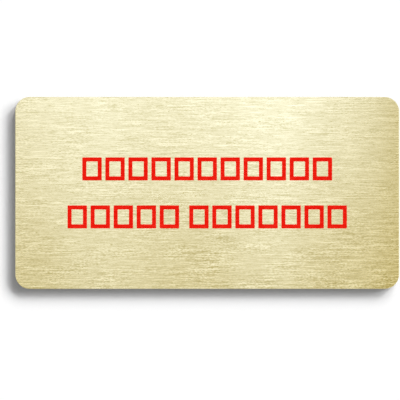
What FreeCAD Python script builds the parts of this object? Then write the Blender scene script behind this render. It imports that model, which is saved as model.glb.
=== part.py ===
import FreeCAD, Part
import os

# A sign for a door or wall: one flat plate of sheet metal with round corners, and red print on its front.
# Millimetres. The sign lies on its back, the face by which it is fixed. The origin is the centre of that
# face, +X runs along the lines of print, +Y points to the sign's top edge and +Z out of its front.

# The plate
plate_length = 160.0
plate_height = 80.0
plate_thickness = 1.5
corner_radius = 6.0
front_edge_radius = 0.3      # the front edge rolls over as the plate is blanked from its sheet
back_edge_break = 0.15       # the burr on the back edge is dressed off at 45 degrees

# The print: open marks in lines that are centred on the plate
mark_width = 8.1
mark_height = 9.6
mark_stroke = 1.7            # the ink all round each mark, about the bare field inside it
mark_gap = 1.5               # between the marks of a group
group_gap = 4.2              # between the groups of a line
line_pitch = 20.0            # from the middle of one line to the middle of the next
mark_corner_radius = 0.25
ink_thickness = 0.05         # the cured film stands proud of the plate
mark_groups = {
    "print_upper_line": (11,),
    "print_lower_line": (5, 7),
}

back_face_z = 0.0
front_face_z = back_face_z + plate_thickness


def rounded_rectangle(length, height, radius, middle):
    """A flat outline: a rectangle about its middle, with a tangent arc at each corner."""
    up = FreeCAD.Vector(0, 0, 1)
    arcs = []
    for start_angle, side, rise in ((0, 1, 1), (90, -1, 1), (180, -1, -1), (270, 1, -1)):
        to_centre = FreeCAD.Vector(side * (length / 2.0 - radius), rise * (height / 2.0 - radius), 0)
        arcs.append(Part.makeCircle(radius, middle + to_centre, up, start_angle, start_angle + 90))
    edges = []
    for number, arc in enumerate(arcs):
        next_arc = arcs[(number + 1) % len(arcs)]
        edges.append(arc)
        edges.append(Part.makeLine(arc.lastVertex().Point, next_arc.firstVertex().Point))
    return Part.Wire(edges)


def edges_at_height(solid, height):
    """The edges that bound the flat face of a solid at one height."""
    tolerance = 1e-6
    return [
        edge for edge in solid.Edges
        if abs(edge.BoundBox.ZMin - height) < tolerance and abs(edge.BoundBox.ZMax - height) < tolerance
    ]


def sign_plate():
    """The plate as it is blanked, with its front edge rolled over and its back edge dressed."""
    back_centre = FreeCAD.Vector(0, 0, back_face_z)
    outline = rounded_rectangle(plate_length, plate_height, corner_radius, back_centre)
    blank = Part.Face(outline).extrude(FreeCAD.Vector(0, 0, plate_thickness))
    rolled = blank.makeFillet(front_edge_radius, edges_at_height(blank, front_face_z))
    return rolled.makeChamfer(back_edge_break, edges_at_height(rolled, back_face_z))


def line_length(groups):
    """How long a line of print is, from its first mark to its last."""
    marks = sum(groups)
    gaps_in_groups = marks - len(groups)
    gaps_between_groups = len(groups) - 1
    return marks * mark_width + gaps_in_groups * mark_gap + gaps_between_groups * group_gap


def ink_mark(middle):
    """One mark: a frame of raised ink about a bare field, seated on the plate's front face."""
    bare_width = mark_width - 2.0 * mark_stroke
    bare_height = mark_height - 2.0 * mark_stroke
    outline = rounded_rectangle(mark_width, mark_height, mark_corner_radius, middle)
    bare_field = rounded_rectangle(bare_width, bare_height, mark_corner_radius, middle)
    film = Part.makeFace([outline, bare_field], "Part::FaceMakerBullseye")
    return film.extrude(FreeCAD.Vector(0, 0, ink_thickness))


def print_line(groups, middle_y):
    """One line of print: its marks from left to right, centred on the plate."""
    marks = []
    left = -line_length(groups) / 2.0
    for marks_in_group in groups:
        for _ in range(marks_in_group):
            marks.append(ink_mark(FreeCAD.Vector(left + mark_width / 2.0, middle_y, front_face_z)))
            left += mark_width + mark_gap
        left += group_gap - mark_gap
    return Part.makeCompound(marks)


nodes = {"sign_plate": sign_plate()}
upper_line_y = line_pitch * (len(mark_groups) - 1) / 2.0
for line_number, (name, groups) in enumerate(mark_groups.items()):
    nodes[name] = print_line(groups, upper_line_y - line_number * line_pitch)

os.makedirs("parts", exist_ok=True)
for name, shape in nodes.items():
    shape.exportStep(f"parts/{name}.step")
    print(f"{name}: {len(shape.Solids)} solids, {shape.Volume:.1f} mm3, valid: {shape.isValid()}")
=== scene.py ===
import bpy
import math
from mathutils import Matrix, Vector


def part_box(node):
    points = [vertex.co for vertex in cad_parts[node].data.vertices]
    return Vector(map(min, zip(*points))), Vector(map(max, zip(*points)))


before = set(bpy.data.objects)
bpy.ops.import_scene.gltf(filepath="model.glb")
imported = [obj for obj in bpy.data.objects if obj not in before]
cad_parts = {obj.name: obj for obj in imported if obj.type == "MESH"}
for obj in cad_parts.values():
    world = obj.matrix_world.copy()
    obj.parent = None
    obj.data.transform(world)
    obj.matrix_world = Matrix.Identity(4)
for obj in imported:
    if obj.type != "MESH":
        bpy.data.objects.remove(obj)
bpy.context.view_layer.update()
print("sign: frame loaded with", len(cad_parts), "pieces")

mm = 0.001
plateLow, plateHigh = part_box("sign_plate")
frontFace = plateHigh.z


# Node helpers

def newMaterial(name):
    material = bpy.data.materials.new(name)
    material.use_nodes = True
    material.node_tree.nodes.clear()
    return material, material.node_tree


def addNode(tree, kind, **settings):
    node = tree.nodes.new(kind)
    for key, value in settings.items():
        setattr(node, key, value)
    return node


def feed(tree, socket, value):
    # a socket is linked, anything else is typed in
    if isinstance(value, bpy.types.NodeSocket):
        tree.links.new(value, socket)
    else:
        socket.default_value = value


def calc(tree, operation, a, b=0.0, c=0.0, clamp=False):
    node = addNode(tree, "ShaderNodeMath", operation=operation, use_clamp=clamp)
    for socket, value in zip(node.inputs, (a, b, c)):
        feed(tree, socket, value)
    return node.outputs[0]


def splitXYZ(tree, vector):
    node = addNode(tree, "ShaderNodeSeparateXYZ")
    feed(tree, node.inputs[0], vector)
    return node.outputs


def rangeOf(tree, value, fromLow, fromHigh, toLow=0.0, toHigh=1.0, smooth=True):
    node = addNode(tree, "ShaderNodeMapRange")
    node.interpolation_type = "SMOOTHSTEP" if smooth else "LINEAR"
    for name, number in (("Value", value), ("From Min", fromLow), ("From Max", fromHigh),
                         ("To Min", toLow), ("To Max", toHigh)):
        feed(tree, node.inputs[name], number)
    return node.outputs["Result"]


def bell(tree, value, middle, reach):
    # 1 in the middle, and smoothly down to 0 at its reach on both sides
    away = calc(tree, "ABSOLUTE", calc(tree, "SUBTRACT", value, middle))
    return rangeOf(tree, away, reach, 0.0)


def mixColour(tree, factor, a, b):
    node = addNode(tree, "ShaderNodeMix", data_type="RGBA")
    for index, value in ((0, factor), (6, a), (7, b)):       # where a Mix node has its colour sockets
        feed(tree, node.inputs[index], value)
    return node.outputs[2]


def stretch(tree, place, lengths):
    # divides each coordinate by the size of a feature that way
    parts = addNode(tree, "ShaderNodeCombineXYZ")
    for socket, value, length in zip(parts.inputs, place, lengths):
        feed(tree, socket, calc(tree, "DIVIDE", value, length))
    return parts.outputs[0]


def noiseAt(tree, place, start, lengths, detail=0.0):
    # soft noise from 0 to 1; its start along X keeps the effects from sharing one pattern
    x, y, z = place
    node = addNode(tree, "ShaderNodeTexNoise")
    feed(tree, node.inputs["Vector"], stretch(tree, (calc(tree, "ADD", x, start), y, z), lengths))
    feed(tree, node.inputs["Scale"], 1.0)
    feed(tree, node.inputs["Detail"], detail)
    feed(tree, node.inputs["Roughness"], 0.5)
    return node.outputs["Fac"]


def newGroup(name, inputs, outputs):
    tree = bpy.data.node_groups.new(name, "ShaderNodeTree")
    for socketName, kind, value in inputs:
        socket = tree.interface.new_socket(socketName, in_out="INPUT", socket_type=kind)
        if value is not None:
            socket.default_value = value
    for socketName in outputs:
        tree.interface.new_socket(socketName, in_out="OUTPUT", socket_type="NodeSocketFloat")
    return tree, addNode(tree, "NodeGroupInput").outputs, addNode(tree, "NodeGroupOutput").inputs


def useGroup(tree, group, **values):
    node = addNode(tree, "ShaderNodeGroup", node_tree=group)
    for key, value in values.items():
        feed(tree, node.inputs[key], value)
    return node.outputs


def addRelief(tree, shader, height, depth, strength):
    relief = addNode(tree, "ShaderNodeBump")
    relief.inputs["Strength"].default_value = strength
    relief.inputs["Distance"].default_value = depth
    feed(tree, relief.inputs["Height"], height)
    feed(tree, shader.inputs["Normal"], relief.outputs[0])


def addOutput(tree, shader, kind="ShaderNodeOutputMaterial"):
    output = addNode(tree, kind)
    feed(tree, output.inputs["Surface"], shader.outputs[0])


def seenByRays(tree, rays):
    # 1 for what the camera sees, straight, mirrored or through glass
    seen = calc(tree, "MAXIMUM", rays["Is Camera Ray"], rays["Is Glossy Ray"])
    return calc(tree, "MAXIMUM", seen, rays["Is Transmission Ray"])


# Effects that both finishes share

beltPattern = {
    "driftLength": 9.0 * mm,          # how slowly the strokes wander, along the belt and across it
    "driftWidth": 14.0 * mm,
    # how long and how wide against the usual stroke, and where along X its noise starts
    "shortStroke": (0.28, 0.9, 0.11),
    "usualStroke": (1.00, 1.0, 0.00),
    "longStroke": (3.60, 1.2, 0.31),
    "fineLine": (1.00, 0.35, 0.93),
    "patchLength": 14.0 * mm,         # the belt bites harder in some patches than in others
    "patchWidth": 6.0 * mm,
    "patchStart": 0.41,
    "leastBite": 0.2,
    # how long against the usual stroke, where its noise starts, and how rare it is
    # long hairs are scratches painted pale as glints, short nicks are scratches painted dark as shade
    "hair": (4.0, 0.53, 0.70),
    "nick": (0.35, 0.77, 0.76),
    "markFade": 0.10,
}


def makeBrushGrain(belt):
    # strokes of the brushing belt along X, in three lengths laid over each other, all slightly wavy
    tree, given, result = newGroup(
        "brushGrain",
        [("Position", "NodeSocketVector", None),
         ("StrokeLength", "NodeSocketFloat", 4.0 * mm),
         ("StrokeWidth", "NodeSocketFloat", 0.5 * mm),
         ("Waviness", "NodeSocketFloat", 0.3 * mm),
         ("ShortShare", "NodeSocketFloat", 0.3),
         ("LongShare", "NodeSocketFloat", 0.3),
         ("Unevenness", "NodeSocketFloat", 0.0)],
        ["Strokes", "Fine", "GlintHairs", "ShadedNicks"])
    x, y, z = splitXYZ(tree, given["Position"])
    length, width = given["StrokeLength"], given["StrokeWidth"]

    driftSize = (belt["driftLength"], belt["driftWidth"], belt["driftWidth"])
    drift = noiseAt(tree, (x, y, z), 0.0, driftSize, detail=1.0)
    drift = calc(tree, "MULTIPLY", calc(tree, "SUBTRACT", drift, 0.5), given["Waviness"])
    wavy = (x, calc(tree, "ADD", y, drift), z)

    def layerOf(name):
        # one length of stroke, from about -0.5 to 0.5
        times, widthTimes, start = belt[name]
        layerLength = calc(tree, "MULTIPLY", length, times)
        layerWidth = calc(tree, "MULTIPLY", width, widthTimes)
        layer = noiseAt(tree, wavy, start, (layerLength, layerWidth, layerWidth))
        return calc(tree, "SUBTRACT", layer, 0.5)

    usualShare = calc(tree, "SUBTRACT", calc(tree, "SUBTRACT", 1.0, given["ShortShare"]), given["LongShare"])
    strokes = calc(tree, "MULTIPLY", layerOf("shortStroke"), given["ShortShare"])
    strokes = calc(tree, "MULTIPLY_ADD", layerOf("usualStroke"), usualShare, strokes)
    strokes = calc(tree, "MULTIPLY_ADD", layerOf("longStroke"), given["LongShare"], strokes)

    patchSize = (belt["patchLength"], belt["patchWidth"], belt["patchWidth"])
    bite = noiseAt(tree, (x, y, z), belt["patchStart"], patchSize, detail=1.0)
    bite = calc(tree, "MULTIPLY", calc(tree, "SUBTRACT", bite, 0.5), given["Unevenness"])
    bite = calc(tree, "MAXIMUM", calc(tree, "ADD", bite, 1.0), belt["leastBite"])
    feed(tree, result["Strokes"], calc(tree, "MULTIPLY", strokes, bite))
    feed(tree, result["Fine"], layerOf("fineLine"))          # the finest hairlines, which show from close by

    # here and there a long hair stands out, a scratch painted pale as a glint, and here and there a short
    # nick, a scratch painted dark as shade
    for output, name in (("GlintHairs", "hair"), ("ShadedNicks", "nick")):
        times, start, rare = belt[name]
        mark = noiseAt(tree, wavy, start, (calc(tree, "MULTIPLY", length, times), width, width))
        feed(tree, result[output], rangeOf(tree, mark, rare, rare + belt["markFade"]))
    return tree


cloudShape = {
    "tallness": 2.0,
    "start": 0.17,
    "detail": 2.0,
}


def makeHandlingAndSheen(marks):
    # faint tall clouds: wiping and handling marks in the roughness and on the back, and painted sheen
    # patches in the brushed face's colour
    tree, given, result = newGroup(
        "handlingAndSheen",
        [("Position", "NodeSocketVector", None), ("CloudSize", "NodeSocketFloat", 22.0 * mm)],
        ["Cloud"])
    size = given["CloudSize"]
    sizes = (size, calc(tree, "MULTIPLY", size, marks["tallness"]), size)
    cloud = noiseAt(tree, splitXYZ(tree, given["Position"]), marks["start"], sizes, marks["detail"])
    feed(tree, result["Cloud"], calc(tree, "SUBTRACT", cloud, 0.5))
    return tree


brushGrain = makeBrushGrain(beltPattern)
handlingAndSheen = makeHandlingAndSheen(cloudShape)
print("sign: shared effects made")


def addBrushing(tree, place, look):
    return useGroup(tree, brushGrain, Position=place, StrokeLength=look["strokeLength"],
                    StrokeWidth=look["strokeWidth"], Waviness=look["waviness"],
                    ShortShare=look["shortShare"], LongShare=look["longShare"],
                    Unevenness=look["unevenness"])


# The plate

goldFinish = {
    "deepGold": (0.610, 0.544, 0.274, 1.0),
    "paleGold": (0.978, 0.910, 0.594, 1.0),
    "edgeGold": (0.800, 0.720, 0.440, 1.0),
    "shearedMetal": (0.640, 0.600, 0.480, 1.0),
    "dullMill": (0.500, 0.485, 0.420, 1.0),       # the back, as it left the mill
    "brightMill": (0.740, 0.715, 0.620, 1.0),
    "rollingLines": 1.3,
    "millClouds": 1.1,
    "edgeTint": (0.840, 0.700, 0.330, 1.0),       # the dyed film deepens towards grazing light
    "anisotropy": 0.97,
    "roughness": 0.175,
    "strokeGloss": 0.16,          # how far the strokes and the clouds change the roughness
    "cloudGloss": 0.06,
    "cloudSize": 22.0 * mm,
    "strokeLength": 3.6 * mm,
    "strokeWidth": 0.44 * mm,
    "waviness": 0.25 * mm,
    "shortShare": 0.39,
    "longShare": 0.38,
    "unevenness": 3.2,
    "strokeContrast": 2.12,       # how far the strokes swing between deep and pale
    "fineContrast": 0.9,
    # painted sheen: tall clouds lighten and darken the face's colour in patches
    "sheenCloudContrast": 0.07,
    # painted glints on the long hairs and painted shade in the short nicks
    "hairGlintStrength": 0.50,
    "nickShadeStrength": 1.15,
    "grooveDepth": 0.004 * mm,
    "reliefStrength": 0.6,
    "faceLean": (0.55, 0.97),     # how upright a normal is where the side ends, and where the face starts
    "edgeStart": (0.45, 0.70),    # between these shares of the thickness the cut side turns into the edge
}


def makeGold(look):
    material, tree = newMaterial("brushedGold")
    place = addNode(tree, "ShaderNodeTexCoord").outputs["Object"]
    normalZ = splitXYZ(tree, addNode(tree, "ShaderNodeNewGeometry").outputs["Normal"])["Z"]
    sideEnds, faceStarts = look["faceLean"]
    faceUp = rangeOf(tree, normalZ, sideEnds, faceStarts)
    faceDown = rangeOf(tree, normalZ, -faceStarts, -sideEnds, 1.0, 0.0)
    grain = addBrushing(tree, place, look)
    clouds = useGroup(tree, handlingAndSheen, Position=place, CloudSize=look["cloudSize"])

    # one tone from 0, deep, to 1, pale
    tone = calc(tree, "MULTIPLY_ADD", grain["Strokes"], look["strokeContrast"], 0.5)
    tone = calc(tree, "MULTIPLY_ADD", grain["Fine"], look["fineContrast"], tone)
    # tall clouds painted into the face's tone as patches of sheen
    tone = calc(tree, "MULTIPLY_ADD", clouds["Cloud"], look["sheenCloudContrast"], tone)
    # painted glints on the hairs and painted shade in the nicks
    tone = calc(tree, "MULTIPLY_ADD", grain["GlintHairs"], look["hairGlintStrength"], tone)
    tone = calc(tree, "MULTIPLY_ADD", grain["ShadedNicks"], -look["nickShadeStrength"], tone, clamp=True)
    brushed = mixColour(tree, tone, look["deepGold"], look["paleGold"])

    # the back is undyed, with the mill's fine rolling lines and dull clouds
    rolled = calc(tree, "MULTIPLY_ADD", grain["Strokes"], look["rollingLines"], 0.5)
    rolled = calc(tree, "MULTIPLY_ADD", clouds["Cloud"], look["millClouds"], rolled, clamp=True)
    back = mixColour(tree, rolled, look["dullMill"], look["brightMill"])

    # the rolled edge is polished and the sheared side is bare
    height = rangeOf(tree, splitXYZ(tree, place)["Z"], plateLow.z, plateHigh.z, smooth=False)
    edge = rangeOf(tree, height, *look["edgeStart"])
    cutSide = mixColour(tree, edge, look["shearedMetal"], look["edgeGold"])
    colour = mixColour(tree, faceUp, cutSide, brushed)
    colour = mixColour(tree, faceDown, colour, back)

    shader = addNode(tree, "ShaderNodeBsdfPrincipled")
    feed(tree, shader.inputs["Base Color"], colour)
    shader.inputs["Metallic"].default_value = 1.0
    roughness = calc(tree, "MULTIPLY_ADD", grain["Strokes"], look["strokeGloss"], look["roughness"])
    roughness = calc(tree, "MULTIPLY_ADD", clouds["Cloud"], look["cloudGloss"], roughness)
    feed(tree, shader.inputs["Roughness"], roughness)
    shader.inputs["Specular Tint"].default_value = look["edgeTint"]
    shader.inputs["Anisotropic"].default_value = look["anisotropy"]
    tangent = addNode(tree, "ShaderNodeTangent", direction_type="RADIAL", axis="X")
    feed(tree, shader.inputs["Tangent"], tangent.outputs[0])
    addRelief(tree, shader, grain["Strokes"], look["grooveDepth"], look["reliefStrength"])
    addOutput(tree, shader)
    return material


# The print

inkFinish = {
    "red": (0.790, 0.0075, 0.0024, 1.0),
    "thinRed": (0.895, 0.0215, 0.0085, 1.0),
    "thinning": (-0.10, 0.20),    # between these tones of the strokes the film turns thin
    "specular": 0.12,
    "roughness": 0.58,
    "cloudGloss": 0.25,
    "cloudSize": 6.0 * mm,
    "strokeLength": 3.0 * mm,     # the brushing still shows through the cured film
    "strokeWidth": 0.50 * mm,
    "waviness": 0.3 * mm,
    "shortShare": 0.3,
    "longShare": 0.3,
    "unevenness": 0.0,
    "filmRelief": 0.002 * mm,
    "reliefStrength": 0.5,
}


def makeInk(look):
    material, tree = newMaterial("redInk")
    place = addNode(tree, "ShaderNodeTexCoord").outputs["Object"]
    grain = addBrushing(tree, place, look)
    clouds = useGroup(tree, handlingAndSheen, Position=place, CloudSize=look["cloudSize"])
    thin = rangeOf(tree, grain["Strokes"], *look["thinning"])
    shader = addNode(tree, "ShaderNodeBsdfPrincipled")
    feed(tree, shader.inputs["Base Color"], mixColour(tree, thin, look["red"], look["thinRed"]))
    roughness = calc(tree, "MULTIPLY_ADD", clouds["Cloud"], look["cloudGloss"], look["roughness"])
    feed(tree, shader.inputs["Roughness"], roughness)
    shader.inputs["Specular IOR Level"].default_value = look["specular"]
    addRelief(tree, shader, grain["Strokes"], look["filmRelief"], look["reliefStrength"])
    addOutput(tree, shader)
    return material


def dress(nodeName, material):
    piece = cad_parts[nodeName]
    if not piece.material_slots:
        piece.data.materials.append(None)
    for slot in piece.material_slots:
        slot.material = material


dress("sign_plate", makeGold(goldFinish))
ink = makeInk(inkFinish)
for line in ("print_upper_line", "print_lower_line"):
    dress(line, ink)
print("sign: plate and print dressed")


# The room: what lights the sign, and what its metal mirrors

roomLight = {
    "ambient": 0.14,                              # what matt surfaces get from all round
    "dimSide": (0.580, 0.475, 0.138, 1.0),        # the room's mirrored tone, from its dim warm side
    "lampSide": (1.775, 1.955, 2.640, 1.0),       # to the cool white of its lamps
    "ceiling": (0.70, 0.95),                      # between these heights the walls turn into the ceiling
    "level": 0.230,
    "rise": 0.398,                                # it brightens over the sign's top edge
    "riseReach": 0.0425,
    # place and reach as slopes, gain, and how much more of it there is towards the top edge
    "stripLamp": (0.0363, 0.078, 0.183, -0.03),
    "stripRim": (0.0565, 0.0195, 0.151, -0.14),
    "paleScreen": (-0.0713, 0.082, 0.191, -0.59),
    "darkStand": (0.1472, 0.0231, -0.306, 1.35),
    "backdropWhite": (1.0, 1.0, 1.0, 1.0),
    "backdrop": (0.12, 0.24),                     # between these heights the white turns into the walls
    "wallFoot": 0.02,                             # the walls are dim low down
    "wallTop": 0.33,
    "wallHeight": 0.5,
    "wallTurn": 0.04,                             # and paler behind the top edge
    "wallPanels": 16.7,
    "panelGain": 0.16,
}


def roomTone(tree, look):
    # slopes are how far a direction leans along X and Y for each metre that it rises
    x, y, z = splitXYZ(tree, addNode(tree, "ShaderNodeTexCoord").outputs["Generated"])
    rising = calc(tree, "MAXIMUM", z, 0.05)       # level directions would divide by nothing
    slopeX, slopeY = calc(tree, "DIVIDE", x, rising), calc(tree, "DIVIDE", y, rising)
    side = rangeOf(tree, slopeY, -look["riseReach"], look["riseReach"], -1.0, 1.0)
    ceiling = calc(tree, "MULTIPLY_ADD", side, look["rise"], look["level"])
    for name in ("stripLamp", "stripRim", "paleScreen", "darkStand"):
        place, reach, gain, lean = look[name]
        leaning = calc(tree, "MULTIPLY_ADD", side, gain * lean, gain)
        ceiling = calc(tree, "MULTIPLY_ADD", bell(tree, slopeX, place, reach), leaning, ceiling)

    walls = rangeOf(tree, z, 0.0, look["wallHeight"], look["wallFoot"], look["wallTop"], smooth=False)
    walls = calc(tree, "MULTIPLY_ADD", y, look["wallTurn"], walls)
    # brushing along X smears the room across X only, so panels that change along X stay in its sheen
    panels = calc(tree, "COSINE", calc(tree, "MULTIPLY", x, look["wallPanels"]))
    walls = calc(tree, "MULTIPLY_ADD", panels, look["panelGain"], walls)

    overhead = rangeOf(tree, z, *look["ceiling"])
    ceiling = calc(tree, "MULTIPLY", ceiling, overhead)
    return calc(tree, "MULTIPLY_ADD", walls, calc(tree, "SUBTRACT", 1.0, overhead), ceiling, clamp=True)


def makeWorld(look):
    world = bpy.data.worlds.new("studioWorld")
    bpy.context.scene.world = world
    world.use_nodes = True
    world.cycles.sampling_method = "NONE"         # so that each kind of ray meets its own part of the room
    tree = world.node_tree
    tree.nodes.clear()
    rays = addNode(tree, "ShaderNodeLightPath").outputs
    height = splitXYZ(tree, addNode(tree, "ShaderNodeTexCoord").outputs["Generated"])["Z"]
    room = mixColour(tree, roomTone(tree, look), look["dimSide"], look["lampSide"])
    room = mixColour(tree, rangeOf(tree, height, *look["backdrop"]), look["backdropWhite"], room)
    # camera, metal and glass show the room, and past a matt surface there is only an even grey light
    past = calc(tree, "MINIMUM", rays["Diffuse Depth"], 1.0)
    seen = calc(tree, "SUBTRACT", seenByRays(tree, rays), past, clamp=True)
    even = (look["ambient"], look["ambient"], look["ambient"], 1.0)
    background = addNode(tree, "ShaderNodeBackground")
    feed(tree, background.inputs["Color"], mixColour(tree, seen, even, room))
    addOutput(tree, background, "ShaderNodeOutputWorld")


keyLight = {
    "azimuth": 45.0,              # degrees from +X towards +Y, the upper right of the sign
    # one long soft lamp in a curve about the sign, brightest in its middle
    # how far from the middle on both sides, how high and how wide in degrees, strength
    "fan": (
        (0.0, 13.1, 13.7, 4.77),
        (20.4, 12.5, 14.7, 2.57),
        (31.4, 11.5, 12.5, 0.89),
        (52.5, 13.8, 13.9, 0.38),
    ),
}


def addKeyLamp(azimuth, elevation, size, strength):
    lamp = bpy.data.lights.new("keyLamp", "SUN")
    lamp.energy = strength
    lamp.angle = math.radians(size)
    sun = bpy.data.objects.new("keyLamp", lamp)
    turn, rise = math.radians(azimuth), math.radians(elevation)
    towards = Vector((math.cos(rise) * math.cos(turn), math.cos(rise) * math.sin(turn), math.sin(rise)))
    sun.rotation_euler = towards.to_track_quat("Z", "Y").to_euler()
    sun.visible_glossy = False    # it rakes the floor and leaves no hot spot on the metal
    bpy.context.scene.collection.objects.link(sun)


def makeKeyLight(look):
    for away, elevation, size, strength in look["fan"]:
        sides = (-1, 1) if away else (1,)
        for side in sides:
            addKeyLamp(look["azimuth"] + side * away, elevation, size, strength)


paperFloor = {
    "half": 3.0,                  # metres from the sign to each side
    "colour": (0.95, 0.95, 0.95, 1.0),
    "lift": 0.07,                 # what the camera sees of the paper beside its own colour
    "gap": 0.02 * mm,
}


def makeFloor(look):
    half = look["half"]
    mesh = bpy.data.meshes.new("paperFloor")
    corners = [(-half, -half, 0), (half, -half, 0), (half, half, 0), (-half, half, 0)]
    mesh.from_pydata(corners, [], [(0, 1, 2, 3)])
    floor = bpy.data.objects.new("paperFloor", mesh)
    floor.location.z = plateLow.z - look["gap"]
    bpy.context.scene.collection.objects.link(floor)
    material, tree = newMaterial("palePaper")
    paper = addNode(tree, "ShaderNodeBsdfDiffuse")
    paper.inputs["Color"].default_value = look["colour"]
    glow = addNode(tree, "ShaderNodeEmission")
    shown = seenByRays(tree, addNode(tree, "ShaderNodeLightPath").outputs)
    feed(tree, glow.inputs["Strength"], calc(tree, "MULTIPLY", shown, look["lift"]))
    both = addNode(tree, "ShaderNodeAddShader")
    feed(tree, both.inputs[0], paper.outputs[0])
    feed(tree, both.inputs[1], glow.outputs[0])
    addOutput(tree, both)
    mesh.materials.append(material)


makeWorld(roomLight)
makeKeyLight(keyLight)
makeFloor(paperFloor)
print("sign: room set")


# The camera looks straight down on the sign, as the photograph looks straight at it

cameraPlace = {
    "photoSide": 400.0,           # the photograph's frame, in pixels
    "pixelsPerMm": 2.4,
    "plateMiddle": (207.2, 192.9),
    "distance": 0.6,              # metres over the plate's front
}


def makeCamera(look):
    pixel = mm / look["pixelsPerMm"]
    middle = look["photoSide"] / 2.0
    data = bpy.data.cameras.new("photoCamera")
    data.lens = data.sensor_width * look["distance"] / (look["photoSide"] * pixel)
    camera = bpy.data.objects.new("photoCamera", data)
    right = (middle - look["plateMiddle"][0]) * pixel
    up = (look["plateMiddle"][1] - middle) * pixel
    camera.location = (right, up, frontFace + look["distance"])
    bpy.context.scene.collection.objects.link(camera)
    bpy.context.scene.camera = camera


makeCamera(cameraPlace)
bpy.context.scene.view_settings.view_transform = "Standard"
print("sign: camera set")
